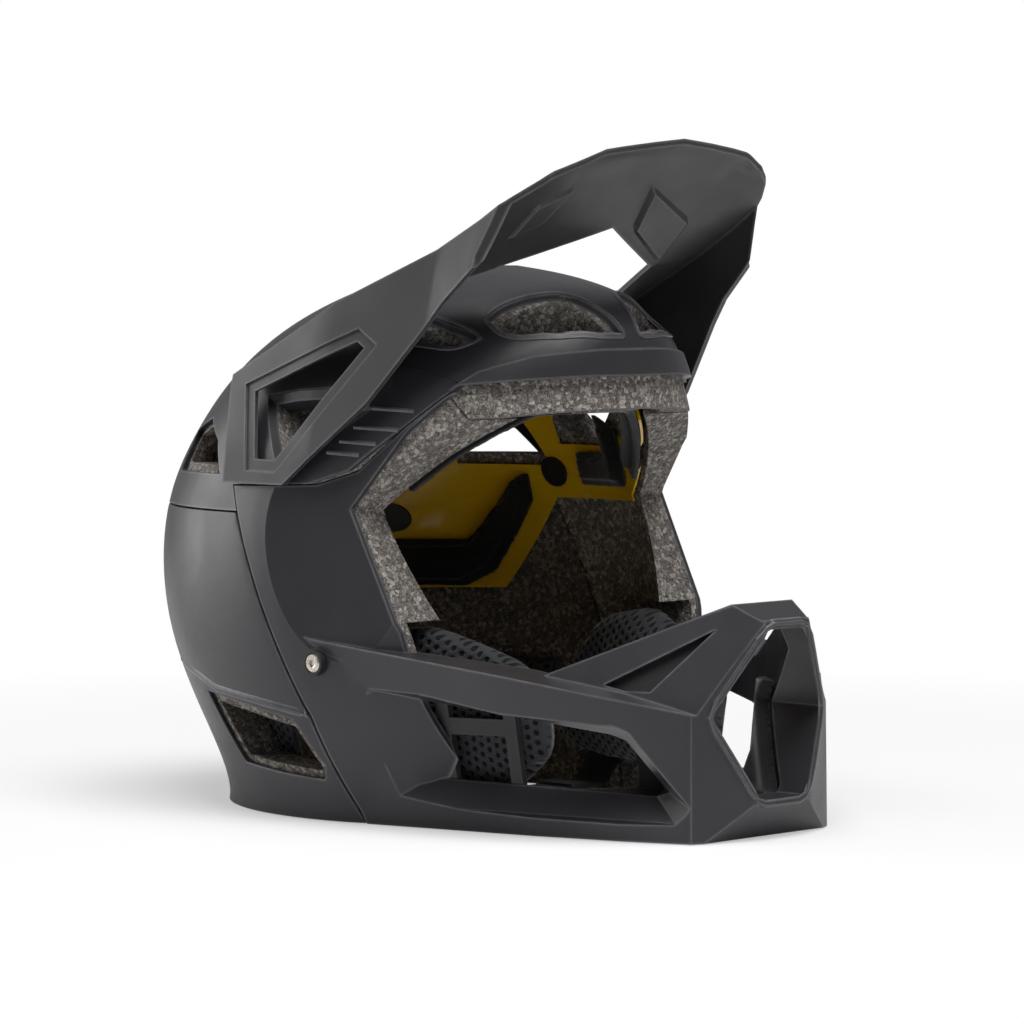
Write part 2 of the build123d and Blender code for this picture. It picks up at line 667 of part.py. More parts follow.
# Buckle under the chin: the catch lies on the base's plate and leaves it rearwards
buckle_width = 24.0
buckle_plate = 2.6
buckle_floor = 1.0
buckle_height = 4.6
buckle_stop = 2.0
buckle_reach = 8.0
buckle_gap = 2.0
buckle_lift = 0.8
plate_top = buckle_floor + buckle_plate
strap_y = bolt_place[0]
with BuildPart() as buckle_base:
    with BuildSketch(Plane.XY.offset(buckle_floor)):
        with Locations((0, strap_y)):
            Rectangle(2 * strap_end, buckle_width)
        split(bisect_by=Plane.YZ.offset(-buckle_reach), keep=Keep.TOP)
    extrude(amount=buckle_plate)
    with BuildSketch(Plane.XY.offset(plate_top)):
        with Locations(((buckle_reach + buckle_gap + strap_end) / 2, strap_y)):
            Rectangle(strap_end - buckle_reach - buckle_gap, buckle_width)
        with Locations((0, strap_y - buckle_width / 2 + buckle_stop / 2)):
            Rectangle(2 * buckle_reach, buckle_stop)
    extrude(amount=buckle_stop)
with BuildPart() as buckle_catch:
    with BuildSketch(Plane.XY.offset(plate_top + buckle_lift)):
        with Locations(((buckle_reach - strap_end) / 2, strap_y + buckle_stop / 2 + seat_gap / 2)):
            Rectangle(buckle_reach + strap_end, buckle_width - buckle_stop - seat_gap)
    extrude(amount=buckle_height)
    fillet(buckle_catch.edges().filter_by(Axis.Z), buckle_stop)

# Strap adjuster: a slide loop on the left strap
adjuster_share = 0.380
adjuster_length = 12.0
adjuster_wall = 1.4
with BuildPart() as strap_adjuster:
    with Locations((adjuster_share * half_width, strap_y, strap_level)):
        Box(adjuster_length, strap_width + 2 * adjuster_wall + fit_clearance, strap_wall + 2 * adjuster_wall)
        Box(adjuster_length, strap_width + fit_clearance, strap_wall + fit_clearance, mode=Mode.SUBTRACT)

# Cheek pads: crowned cushions in front of the carriers, stepped in behind for the strap
pad_plane_share = (0.609, -0.146, 0.198)
pad_facing_share = (0.963, -0.213, -0.165)
pad_rearward_share = (0.216, 0.976, 0.000)
cheek_pad_shares = ((-0.363, 0.062), (-0.280, 0.105), (-0.018, 0.165), (0.140, 0.150), (0.270, 0.050),
                    (0.300, -0.060), (0.263, -0.135), (-0.263, -0.135), (-0.374, -0.062))
cheek_pad_back = 4.6
cheek_pad_levels = ((0.0, 1.00), (8.0, 1.00), (19.0, 0.90), (25.0, 0.72))
cheek_pad_corner = 12.0
strap_room_share = ((0.595, 0.035), (0.595, 0.070), (0.620, 0.100), (0.685, 0.250), (0.685, 0.420),
                    (1.100, 0.420), (1.100, 0.035))
strap_room_front = 12.0
cheek_wall = Plane(origin=(pad_plane_share[0] * half_width, pad_plane_share[1] * half_length,
                           pad_plane_share[2] * crown_height),
                   x_dir=pad_rearward_share, z_dir=pad_facing_share)
with BuildPart() as cheek_pad_left:
    for depth, size_share in cheek_pad_levels:
        with BuildSketch(cheek_wall.offset(cheek_pad_back - depth)) as level:
            with BuildLine():
                Polyline(*[(u * half_length * size_share, v * crown_height * size_share)
                           for u, v in cheek_pad_shares], close=True)
            make_face()
            fillet(level.vertices(), cheek_pad_corner * size_share)
    loft(ruled=True)
    with BuildSketch(Plane.XZ.offset(strap_room_front)):
        with BuildLine():
            Polyline(*[(x * half_width, z * crown_height) for x, z in strap_room_share], close=True)
        make_face()
    extrude(amount=-half_length, mode=Mode.SUBTRACT)

# Snaps that hold each cheek pad on its carrier
snap_radius = 2.4
snap_places_share = ((-0.265, 0.185), (-0.435, 0.185))
with BuildPart() as snaps:
    for y, z in snap_places_share:
        add(side_pins(snap_radius, half_width / 2, half_width, (y * half_length, z * crown_height)))
    add(carrier_inner, mode=Mode.INTERSECT)
with BuildPart() as cheek_snaps_left:
    add(left_half(snaps.part))
    split(bisect_by=cheek_wall.offset(cheek_pad_back), keep=Keep.TOP)

# Visor: cross-sections from the bracket to the tip, then the side view that trims them.
# Each row: place along Y; bottom, crest and roof points (half width, crown height); roof middle height
visor_wall = 2.6
visor_bevel = 0.9
visor_bevel_width = 5.0
visor_shares = (
    (0.470, (0.994, 0.600), (0.865, 0.770), (0.565, 0.810), 0.826),
    (0.029, (0.994, 0.600), (0.822, 0.934), (0.609, 0.925), 0.921),
    (-0.275, (0.848, 0.826), (0.738, 1.027), (0.426, 1.004), 0.996),
    (-0.409, (0.796, 0.959), (0.720, 1.078), (0.391, 1.080), 1.076),
    (-0.500, (0.755, 1.020), (0.706, 1.118), (0.391, 1.140), 1.148),
    (-0.580, (0.730, 1.066), (0.690, 1.150), (0.391, 1.188), 1.200),
    (-0.720, (0.706, 1.120), (0.680, 1.175), (0.391, 1.225), 1.243),
)
visor_side_shares = ((0.333, 0.607), (0.114, 0.607), (-0.129, 0.756), (-0.327, 0.934), (-0.520, 1.062),
                     (-0.720, 1.150), (-0.720, 1.400), (0.460, 1.400), (0.386, 0.775))
visor_plan_shares = ((0.001, -0.655), (0.150, -0.652), (0.300, -0.643), (0.420, -0.630), (0.520, -0.608),
                     (0.600, -0.575), (0.655, -0.530), (0.700, -0.480), (0.760, -0.420), (1.050, -0.420),
                     (1.050, 0.600), (0.001, 0.600))
visor_window_shares = ((0.290, 0.771), (-0.058, 0.864), (-0.085, 0.853), (0.161, 0.650), (0.237, 0.651))
visor_notch_shares = ((0.001, -0.409), (0.426, -0.278), (0.660, 0.029), (0.783, 0.374), (0.783, 0.626))


def visor_form(inset):
    """Solid under the visor's outer skin, drawn in by an inset."""
    with BuildPart() as form:
        for place, bottom, crest, roof, middle in visor_shares:
            left = [(x * half_width - inset, z * crown_height) for x, z in (bottom, crest)]
            left[1] = (left[1][0], left[1][1] - inset)
            left.append((roof[0] * half_width, roof[1] * crown_height - inset))
            right = [(-x, z) for x, z in reversed(left)]
            with BuildSketch(Plane.XZ.offset(-place * half_length)):
                with BuildLine():
                    Polyline(*left, (0, middle * crown_height - inset), *right, close=True)
                make_face()
        loft(ruled=True)
    return form.part


visor_outer_form = visor_form(0)
with BuildPart() as window_bevel:
    add(visor_outer_form)
    add(visor_form(visor_bevel), mode=Mode.SUBTRACT)
    add(side_prism(visor_window_shares, visor_bevel_width), mode=Mode.INTERSECT)
with BuildPart() as visor:
    add(visor_outer_form)
    add(visor_form(visor_wall), mode=Mode.SUBTRACT)
    add(side_prism(visor_side_shares), mode=Mode.INTERSECT)
    add(side_prism(visor_window_shares), mode=Mode.SUBTRACT)
    add(window_bevel.part, mode=Mode.SUBTRACT)
    with BuildSketch(Plane.XY.offset(waist_height)):
        with BuildLine():
            Polyline(*mirrored_plan(visor_notch_shares), close=True)
        make_face()
    extrude(amount=crown_height, mode=Mode.SUBTRACT)
    with BuildSketch(Plane.XY.offset(waist_height)):
        with BuildLine():
            Polyline(*mirrored_plan(visor_plan_shares), close=True)
        make_face()
    extrude(amount=crown_height, mode=Mode.INTERSECT)
    add(side_pins(pivot_stub_radius + pivot_clearance, half_width / 2,
                  pivot_outer + pivot_clearance, pivot_place), mode=Mode.SUBTRACT)
with BuildPart() as visor_pivots:
    add(side_pins(pivot_boss_radius, pivot_inner, half_width, pivot_place))
    add(outer_form, mode=Mode.INTERSECT)
    add(side_pins(pivot_stub_radius, pivot_inner, pivot_outer, pivot_place))

left_pieces = {
    "crown_foam": crown_foam_left.part,
    "cheek_foam": cheek_foam_left.part,
    "slot_insert": slot_insert_left.part,
    "side_pad": side_pad_left.part,
    "neck_pad": neck_pad_left.part,
    "cheek_carrier": cheek_carrier_left.part,
    "cheek_pad": cheek_pad_left.part,
    "cheek_snaps": cheek_snaps_left.part,
    "chin_strap": chin_strap_left.part,
}
pieces = {
    "upper_shell": upper_shell.part,
    "rear_shell": rear_shell.part,
    "front_shell": front_shell.part,
    "chin_foam": chin_foam.part,
    "rear_foam": rear_foam.part,
    "slip_liner": slip_liner.part,
    "liner_pins": liner_pins.part,
    "brow_pad": brow_pad.part,
    "nape_pad": nape_pad.part,
    "crown_pad": crown_pad.part,
    "chin_pad": chin_pad.part,
    "strap_bolts": strap_bolts.part,
    "bolt_rings": bolt_rings.part,
    "buckle_base": buckle_base.part,
    "buckle_catch": buckle_catch.part,
    "strap_adjuster": strap_adjuster.part,
    "visor": visor.part,
    "visor_pivots": visor_pivots.part,
}
for name, piece in left_pieces.items():
    pieces[name + "_left"] = piece
    pieces[name + "_right"] = piece.mirror(Plane.YZ)
for name, piece in pieces.items():
    piece.label = name
    export_step(piece, f"parts/{name}.step")
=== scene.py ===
"""Looks of a full face helmet for downhill riding: shells, foam, liner, pads, straps and visor."""

import math

import bpy
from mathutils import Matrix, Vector
from mathutils.bvhtree import BVHTree


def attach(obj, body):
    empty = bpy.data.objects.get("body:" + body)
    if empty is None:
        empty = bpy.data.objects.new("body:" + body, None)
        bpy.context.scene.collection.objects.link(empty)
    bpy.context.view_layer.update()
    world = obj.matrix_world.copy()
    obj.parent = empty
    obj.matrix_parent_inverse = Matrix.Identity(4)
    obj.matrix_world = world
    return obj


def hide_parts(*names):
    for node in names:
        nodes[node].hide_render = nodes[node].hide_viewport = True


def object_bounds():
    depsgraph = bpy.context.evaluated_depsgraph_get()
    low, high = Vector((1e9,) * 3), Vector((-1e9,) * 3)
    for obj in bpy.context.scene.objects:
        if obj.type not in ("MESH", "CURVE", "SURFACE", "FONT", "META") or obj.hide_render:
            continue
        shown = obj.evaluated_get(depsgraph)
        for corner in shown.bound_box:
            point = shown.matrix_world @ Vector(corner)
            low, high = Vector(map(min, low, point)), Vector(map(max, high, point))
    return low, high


MM = 0.001
IMAGE_SIDE = 1024
WELD_REACH = 0.00001
WHITE = (1.0, 1.0, 1.0, 1.0)
FULL_TURN = 6.283

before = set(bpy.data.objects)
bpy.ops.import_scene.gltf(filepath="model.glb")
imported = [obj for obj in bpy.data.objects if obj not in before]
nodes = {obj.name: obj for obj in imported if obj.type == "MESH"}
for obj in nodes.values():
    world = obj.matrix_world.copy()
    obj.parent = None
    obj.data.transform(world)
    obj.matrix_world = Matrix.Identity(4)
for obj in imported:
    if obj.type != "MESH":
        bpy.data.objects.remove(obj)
cad_low, cad_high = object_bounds()
scene = bpy.context.scene
scene.view_settings.view_transform = "Standard"


# Camera

CAMERA_PLACE = Vector((-1.4723, -1.4310, 0.2484))
CAMERA_TARGET = Vector((0.0, -0.0093, 0.1318))
CAMERA_LENS = 161.75
SENSOR = 36.0
CLIP_RANGE = (0.05, 50)

camera_data = bpy.data.cameras.new("camera")
camera_data.lens = CAMERA_LENS
camera_data.sensor_width = SENSOR
camera_data.clip_start, camera_data.clip_end = CLIP_RANGE
camera = bpy.data.objects.new("camera", camera_data)
scene.collection.objects.link(camera)
camera.location = CAMERA_PLACE
camera.rotation_euler = (CAMERA_TARGET - CAMERA_PLACE).to_track_quat("-Z", "Y").to_euler()
scene.camera = camera


def pixel_ray(px, py):
    """Direction from the camera through a point of the square image."""
    half = IMAGE_SIDE / 2
    step = SENSOR / CAMERA_LENS / IMAGE_SIDE
    local = Vector(((px - half) * step, (half - py) * step, -1.0))
    turn = (CAMERA_TARGET - CAMERA_PLACE).to_track_quat("-Z", "Y")
    return (turn @ local).normalized()


trees = {}


def tree_of(names):
    """Search tree over the surfaces of the named nodes."""
    key = tuple(names)
    if key not in trees:
        points, faces = [], []
        for name in names:
            mesh = nodes[name].data
            start = len(points)
            points += [v.co.copy() for v in mesh.vertices]
            faces += [[start + i for i in p.vertices] for p in mesh.polygons]
        trees[key] = BVHTree.FromPolygons(points, faces)
    return trees[key]


def pixel_hit(px, py, names):
    """First point of the named nodes behind an image point, and the normal there."""
    direction = pixel_ray(px, py)
    place, normal, _, _ = tree_of(names).ray_cast(CAMERA_PLACE, direction)
    if place is None:
        return None
    if normal.dot(direction) > 0:
        normal = -normal
    return place, normal


# Materials


def tone(red, green, blue):
    """A display colour as linear light."""
    values = []
    for part in (red, green, blue):
        share = part / 255
        values.append(share / 12.92 if share <= 0.04045 else ((share + 0.055) / 1.055) ** 2.4)
    return (*values, 1.0)


def scaled(colour, share):
    """A colour with its light multiplied."""
    return tuple(c * share for c in colour[:3]) + (1.0,)


class Surface:
    """A node material with short calls for its parts."""

    def __init__(self, name, **sockets):
        self.material = bpy.data.materials.new(name)
        self.material.use_nodes = True
        self.tree = self.material.node_tree
        self.shader = self.tree.nodes["Principled BSDF"]
        for key, value in sockets.items():
            self.shader.inputs[key.replace("_", " ")].default_value = value
        coordinates = self.tree.nodes.new("ShaderNodeTexCoord")
        self.place = coordinates.outputs["Object"]

    def add(self, kind, links=None, **settings):
        made = self.tree.nodes.new("ShaderNode" + kind)
        for key, value in settings.items():
            if key in made.bl_rna.properties:
                setattr(made, key, value)
            else:
                made.inputs[key.replace("_", " ")].default_value = value
        for key, source in (links or {}).items():
            self.tree.links.new(source, made.inputs[key])
        return made

    def noise(self, scale, detail=3.0, place=None):
        made = self.add("TexNoise", {"Vector": place or self.place}, Scale=scale, Detail=detail)
        return made.outputs["Fac"]

    def cells(self, scale, feature="F1", place=None):
        return self.add("TexVoronoi", {"Vector": place or self.place}, feature=feature, Scale=scale)

    def ramp(self, source, stops):
        made = self.add("ValToRGB", {"Fac": source})
        ramp = made.color_ramp
        ramp.elements[0].position, ramp.elements[0].color = stops[0]
        ramp.elements[1].position, ramp.elements[1].color = stops[-1]
        for place, colour in stops[1:-1]:
            ramp.elements.new(place).color = colour
        return made.outputs["Color"]

    def math(self, operation, first, second=None):
        made = self.add("Math", operation=operation)
        for index, value in enumerate((first, second)):
            if value is None:
                continue
            if isinstance(value, (int, float)):
                made.inputs[index].default_value = value
            else:
                self.tree.links.new(value, made.inputs[index])
        return made.outputs[0]

    def span(self, source, low, high, out_low=0.0, out_high=1.0):
        made = self.add("MapRange", {"Value": source}, clamp=True)
        for index, value in enumerate((low, high, out_low, out_high), 1):
            made.inputs[index].default_value = value
        return made.outputs[0]

    def mix(self, share, first, second, blend="MIX"):
        made = self.add("Mix", data_type="RGBA", blend_type=blend)
        for index, value in ((0, share), (6, first), (7, second)):
            if isinstance(value, (int, float, tuple)):
                made.inputs[index].default_value = value
            else:
                self.tree.links.new(value, made.inputs[index])
        return made.outputs[2]

    def bump(self, height, strength, distance, normal=None):
        links = {"Height": height}
        if normal is not None:
            links["Normal"] = normal
        made = self.add("Bump", links, Strength=strength, Distance=distance)
        return made.outputs["Normal"]

    def set(self, key, source):
        self.tree.links.new(source, self.shader.inputs[key])

    def edge_wear_and_highlight_share(self, radius):
        """Share of edge wear and painted highlight: one along a convex edge and zero on open surface."""
        rounded = self.add("Bevel", samples=3, Radius=radius).outputs["Normal"]
        flat = self.add("NewGeometry").outputs["Normal"]
        dot = self.add("VectorMath", {0: rounded, 1: flat}, operation="DOT_PRODUCT").outputs["Value"]
        return self.span(dot, 0.995, 0.9, 0.0, 1.0)


EDGE_REACH = 0.0016


def painted(name, colour, pale, roughness, grain=1500, grain_depth=0.00004, wear_and_highlight=0.35):
    """Moulded or painted plastic: faint clouding, fine grain, and paler edges that are partly wear and
    partly a painted highlight.
    """
    cloud_scale, chip_scale, gloss_scale = 22, 120, 60
    cloud_lift = 1.16
    s = Surface(name, Specular_IOR_Level=0.45)
    clouds = s.span(s.noise(cloud_scale, 4.0), 0.3, 0.7, 0.0, 1.0)
    body = s.mix(clouds, colour, scaled(colour, cloud_lift))
    # Paler convex edges: partly wear, partly a painted highlight standing in for light caught on rounded
    # edges.
    edge_breakup = s.span(s.noise(chip_scale, 4.0), 0.3, 0.62, 0.3, wear_and_highlight)
    edges = s.math("MULTIPLY", s.edge_wear_and_highlight_share(EDGE_REACH), edge_breakup)
    s.set("Base Color", s.mix(edges, body, pale))
    gloss = s.noise(gloss_scale, 3.0)
    s.set("Roughness", s.span(gloss, 0.25, 0.75, roughness - 0.05, roughness + 0.06))
    s.set("Normal", s.bump(s.noise(grain, 2.0), 0.5, grain_depth))
    return s.material


def beaded_foam(name, dark, mid, light):
    """Moulded bead foam: cells of differing grey with sunk joints."""
    bead_scale, warp_scale, fine_scale = 560, 260, 1500
    s = Surface(name, Specular_IOR_Level=0.25, Roughness=0.8)
    warp = s.add("TexNoise", {"Vector": s.place}, Scale=warp_scale, Detail=2.0)
    bent = s.add("VectorMath", {0: warp.outputs["Color"]}, operation="SCALE", Scale=0.0016)
    place = s.add("VectorMath", {0: s.place, 1: bent.outputs[0]}, operation="ADD").outputs[0]
    beads = s.cells(bead_scale, place=place)
    seams = s.cells(bead_scale, "DISTANCE_TO_EDGE", place=place)
    shade = s.ramp(beads.outputs["Color"], [(0.15, dark), (0.5, mid), (0.88, light)])
    fine = s.ramp(s.noise(fine_scale, 3.0), [(0.36, dark), (0.66, light)])
    mixed = s.mix(0.42, shade, fine)
    joints = s.span(seams.outputs["Distance"], 0.0, 0.14, 0.45, 0.0)
    s.set("Base Color", s.mix(joints, mixed, dark))
    s.set("Normal", s.bump(s.span(seams.outputs["Distance"], 0.0, 0.25), 0.6, 0.0004))
    return s.material


HEX_PITCH = 4.3 * MM
HEX_TURNS = (0.0, math.pi / 3, 2 * math.pi / 3)
HEX_WAVE = 4 * math.pi / math.sqrt(3) / HEX_PITCH
HOLE_LOW, HOLE_HIGH = 0.15, 1.2


def hex_waves(first, second):
    """Height of the lattice of round holes at a place of the fabric, largest in a hole."""
    return sum(math.cos(HEX_WAVE * (first * math.cos(t) + second * math.sin(t))) for t in HEX_TURNS)


def mesh_fabric(name, thread, hole, axes=((0, 1, 0), (0, 0, 1)), sheen=0.25):
    """Knitted mesh with rows of holes over a dark core."""
    s = Surface(name, Roughness=0.82, Specular_IOR_Level=0.25, Sheen_Weight=sheen, Sheen_Roughness=0.4)
    first, second = (Vector(a) for a in axes)
    total = None
    for turn in HEX_TURNS:
        way = (first * math.cos(turn) + second * math.sin(turn)) * HEX_WAVE
        dot = s.add("VectorMath", {0: s.place}, operation="DOT_PRODUCT")
        dot.inputs[1].default_value = way
        wave = s.math("COSINE", dot.outputs["Value"])
        total = wave if total is None else s.math("ADD", total, wave)
    holes = s.span(total, HOLE_LOW, HOLE_HIGH)
    strands = s.noise(1700, 2.0)
    thread_tone = s.mix(s.span(strands, 0.3, 0.7), scaled(thread, 0.7), thread)
    s.set("Base Color", s.mix(holes, thread_tone, hole))
    height = s.math("SUBTRACT", s.math("MULTIPLY", strands, 0.25), holes)
    s.set("Normal", s.bump(height, 0.7, 0.0005))
    return s.material


def plain_fabric(name, colour, weave=900):
    """Tight woven or brushed cloth."""
    s = Surface(name, Roughness=0.88, Specular_IOR_Level=0.2, Sheen_Weight=0.3, Sheen_Roughness=0.5)
    split = s.add("SeparateXYZ", {"Vector": s.place})
    warp = s.math("ADD", split.outputs[1], split.outputs[0])
    along = s.math("SINE", s.math("MULTIPLY", warp, weave * FULL_TURN))
    across = s.math("SINE", s.math("MULTIPLY", split.outputs[2], weave * FULL_TURN))
    cloth = s.span(s.math("MULTIPLY", along, across), -1.0, 1.0)
    clouds = s.noise(45, 4.0)
    share = s.math("MULTIPLY", cloth, clouds)
    s.set("Base Color", s.mix(share, scaled(colour, 0.6), scaled(colour, 1.3)))
    s.set("Normal", s.bump(cloth, 0.5, 0.0002))
    return s.material


def webbing(name, colour):
    """Twill strap."""
    s = Surface(name, Roughness=0.62, Specular_IOR_Level=0.35, Sheen_Weight=0.2)
    split = s.add("SeparateXYZ", {"Vector": s.place})
    twill_scale = 3600
    rise = s.math("MULTIPLY", s.math("ADD", split.outputs[1], split.outputs[2]), twill_scale)
    fall = s.math("MULTIPLY", s.math("SUBTRACT", split.outputs[1], split.outputs[2]), twill_scale)
    twill = s.math("MULTIPLY", s.math("SINE", rise), s.math("SINE", fall))
    cloth = s.span(twill, -1.0, 1.0)
    s.set("Base Color", s.mix(cloth, scaled(colour, 0.5), scaled(colour, 1.4)))
    s.set("Normal", s.bump(cloth, 0.7, 0.0003))
    return s.material


def glossy_liner(name, colour, deep):
    """Thin glossy moulded sheet with faint flow marks and fine scratches."""
    s = Surface(name, Specular_IOR_Level=0.5, Coat_Weight=0.35, Coat_Roughness=0.08)
    s.set("Base Color", s.mix(s.span(s.noise(16, 3.0), 0.3, 0.7), colour, deep))
    scuffs = s.noise(90, 5.0, s.add("Mapping", {"Vector": s.place}, Scale=(1.0, 1.0, 9.0)).outputs[0])
    s.set("Roughness", s.span(scuffs, 0.35, 0.8, 0.16, 0.34))
    s.set("Normal", s.bump(s.noise(38, 2.0), 0.12, 0.0006))
    return s.material


def metal(name, colour, roughness):
    """Turned metal with faint stains and fine grain."""
    s = Surface(name, Metallic=1.0, Base_Color=colour)
    stain_scale, polish_scale, grain_scale = 700, 1300, 1800
    stains = s.span(s.noise(stain_scale, 3.0), 0.35, 0.65)
    s.set("Base Color", s.mix(stains, colour, scaled(colour, 0.72)))
    s.set("Roughness", s.span(s.noise(polish_scale, 3.0), 0.3, 0.7, roughness - 0.06, roughness + 0.1))
    s.set("Normal", s.bump(s.noise(grain_scale, 2.0), 0.25, 0.00003))
    return s.material


# Pale edge tones here and in the plastics and rubbers below: partly wear, partly a painted highlight on
# rounded edges.
EDGE_WEAR_AND_HIGHLIGHT = tone(150, 150, 154)
shell_paint = painted("matte_shell", tone(45, 44, 48), EDGE_WEAR_AND_HIGHLIGHT, 0.37, wear_and_highlight=0.6)
visor_paint = painted("visor_plastic", tone(46, 45, 47), EDGE_WEAR_AND_HIGHLIGHT, 0.43, grain=1100,
                      grain_depth=0.00007, wear_and_highlight=0.5)
dark_plastic = painted("dark_plastic", tone(30, 30, 33), tone(70, 70, 74), 0.42, wear_and_highlight=0.25)
buckle_plastic = painted("buckle_plastic", tone(27, 27, 29), tone(64, 64, 68), 0.36, wear_and_highlight=0.3)
pin_rubber = painted("pin_rubber", tone(18, 18, 20), tone(46, 46, 48), 0.55, wear_and_highlight=0.2)
ring_rubber = painted("ring_rubber", tone(20, 20, 22), tone(50, 50, 52), 0.6, wear_and_highlight=0.2)
insert_rubber = painted("insert_rubber", tone(17, 17, 18), tone(44, 44, 46), 0.62, grain=2400, wear_and_highlight=0.2)
grey_foam = beaded_foam("bead_foam", tone(50, 47, 45), tone(108, 103, 98), tone(205, 198, 190))
# Darker copy of the bead foam: painted shade for the dim inside of the helmet.
shaded_foam = beaded_foam("shaded_bead_foam", tone(38, 34, 31), tone(82, 77, 72), tone(172, 164, 156))
liner_gloss = glossy_liner("yellow_liner", tone(228, 184, 20), tone(208, 163, 12))
cheek_mesh = mesh_fabric("cheek_mesh", tone(62, 63, 67), tone(7, 7, 8))
pad_cloth = plain_fabric("pad_cloth", tone(24, 24, 26))
strap_cloth = webbing("strap_cloth", tone(26, 26, 28))
bolt_steel = metal("bolt_steel", tone(205, 198, 188), 0.26)


# Hard pieces


def finish_hard(name, material, width=0.6 * MM, angle=28):
    """Gives a node its material, rounded edges and smooth shading."""
    obj = nodes[name]
    obj.data.materials.clear()
    obj.data.materials.append(material)
    weld = obj.modifiers.new("weld", "WELD")
    weld.merge_threshold = WELD_REACH
    if width:
        planar = obj.modifiers.new("planar", "DECIMATE")
        planar.decimate_type = "DISSOLVE"
        planar.angle_limit = math.radians(0.4)
        bevel = obj.modifiers.new("bevel", "BEVEL")
        bevel.width = width
        bevel.segments = 2
        bevel.limit_method = "ANGLE"
        bevel.angle_limit = math.radians(angle)
        bevel.use_clamp_overlap = True
        bevel.harden_normals = False
    normals = obj.modifiers.new("normals", "WEIGHTED_NORMAL")
    normals.keep_sharp = True
    return obj


HARD = {
    "upper_shell": (shell_paint, 0.8),
    "rear_shell": (shell_paint, 0.8),
    "front_shell": (shell_paint, 1.1),
    "visor": (visor_paint, 0.9),
    "visor_pivots": (dark_plastic, 0.2),
    "slot_insert_left": (insert_rubber, 0.2),
    "slot_insert_right": (insert_rubber, 0.2),
    "cheek_carrier_left": (dark_plastic, 0.4),
    "cheek_carrier_right": (dark_plastic, 0.4),
    "cheek_snaps_left": (dark_plastic, 0.2),
    "cheek_snaps_right": (dark_plastic, 0.2),
    "bolt_rings": (ring_rubber, 0.2),
    "strap_bolts": (bolt_steel, 0.2),
    "buckle_base": (buckle_plastic, 0.5),
    "buckle_catch": (buckle_plastic, 0.5),
    "strap_adjuster": (buckle_plastic, 0.3),
    "liner_pins": (pin_rubber, 0.2),
    "slip_liner": (liner_gloss, 0.0),
    "chin_foam": (grey_foam, 0.8),
    "crown_foam_left": (grey_foam, 0.8),
    "crown_foam_right": (grey_foam, 0.8),
    # The rear foam takes the darker foam copy: painted shade inside the helmet.
    "rear_foam": (shaded_foam, 0.8),
    "cheek_foam_left": (grey_foam, 0.8),
    "cheek_foam_right": (grey_foam, 0.8),
}
for node_name, (finish_material, edge) in HARD.items():
    finish_hard(node_name, finish_material, edge * MM)


# Making helpers


def new_piece(name, mesh, material, body, replaced=()):
    obj = bpy.data.objects.new(name, mesh)
    scene.collection.objects.link(obj)
    mesh.materials.clear()
    mesh.materials.append(material)
    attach(obj, body)
    if replaced:
        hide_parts(*replaced)
    return obj


def mirrored(mesh, name):
    """The same mesh on the other side of the helmet."""
    other = mesh.copy()
    other.name = name
    for v in other.vertices:
        v.co.x = -v.co.x
    other.flip_normals()
    return other


def smooth(mesh):
    for polygon in mesh.polygons:
        polygon.use_smooth = True


def apply_all(obj):
    """Turns an object's modifiers into its mesh."""
    graph = bpy.context.evaluated_depsgraph_get()
    made = bpy.data.meshes.new_from_object(obj.evaluated_get(graph))
    obj.modifiers.clear()
    obj.data = made
    return obj


def remeshed(node, name, voxel, shrink):
    """A closed even mesh of a soft node, a little inside it."""
    obj = bpy.data.objects.new(name, nodes[node].data.copy())
    scene.collection.objects.link(obj)
    obj.modifiers.new("weld", "WELD").merge_threshold = WELD_REACH
    remesh = obj.modifiers.new("remesh", "REMESH")
    remesh.mode = "VOXEL"
    remesh.voxel_size = voxel
    even = obj.modifiers.new("even", "SMOOTH")
    even.iterations = 4
    apply_all(obj)
    normals = [v.normal.copy() for v in obj.data.vertices]
    for v, n in zip(obj.data.vertices, normals):
        v.co -= n * shrink
    return obj


def inflate(obj, pressure, cap, frames=20):
    """Swells a closed mesh as cloth under pressure, with each point's travel capped."""
    start = [v.co.copy() for v in obj.data.vertices]
    cloth = obj.modifiers.new("cloth", "CLOTH")
    settings = cloth.settings
    settings.quality = 5
    settings.mass = 0.3
    settings.use_pressure = True
    settings.uniform_pressure_force = pressure
    settings.tension_stiffness = 15
    settings.compression_stiffness = 15
    settings.bending_stiffness = 0.5
    settings.effector_weights.gravity = 0
    cloth.collision_settings.use_collision = False
    for step in range(1, frames + 1):
        scene.frame_set(step)
    apply_all(obj)
    for v, rest in zip(obj.data.vertices, start):
        move = v.co - rest
        if move.length > cap:
            v.co = rest + move.normalized() * cap
    scene.frame_set(1)


def dense(obj, levels):
    divide = obj.modifiers.new("divide", "SUBSURF")
    divide.levels = levels
    divide.render_levels = levels
    apply_all(obj)
    smooth(obj.data)


# Cheek pads: a puffed cushion with a knitted mesh face

PAD_MESH_DEPTH = 0.55 * MM


def knit(mesh, depth):
    """Sinks the lattice of holes into the faces that look sideways."""
    normals = [v.normal.copy() for v in mesh.vertices]
    for v, n in zip(mesh.vertices, normals):
        share = (hex_waves(v.co.y, v.co.z) - HOLE_LOW) / (HOLE_HIGH - HOLE_LOW)
        wave = min(max(share, 0.0), 1.0)
        v.co -= n * (depth * wave * min(1.0, abs(n.x) * 1.4))


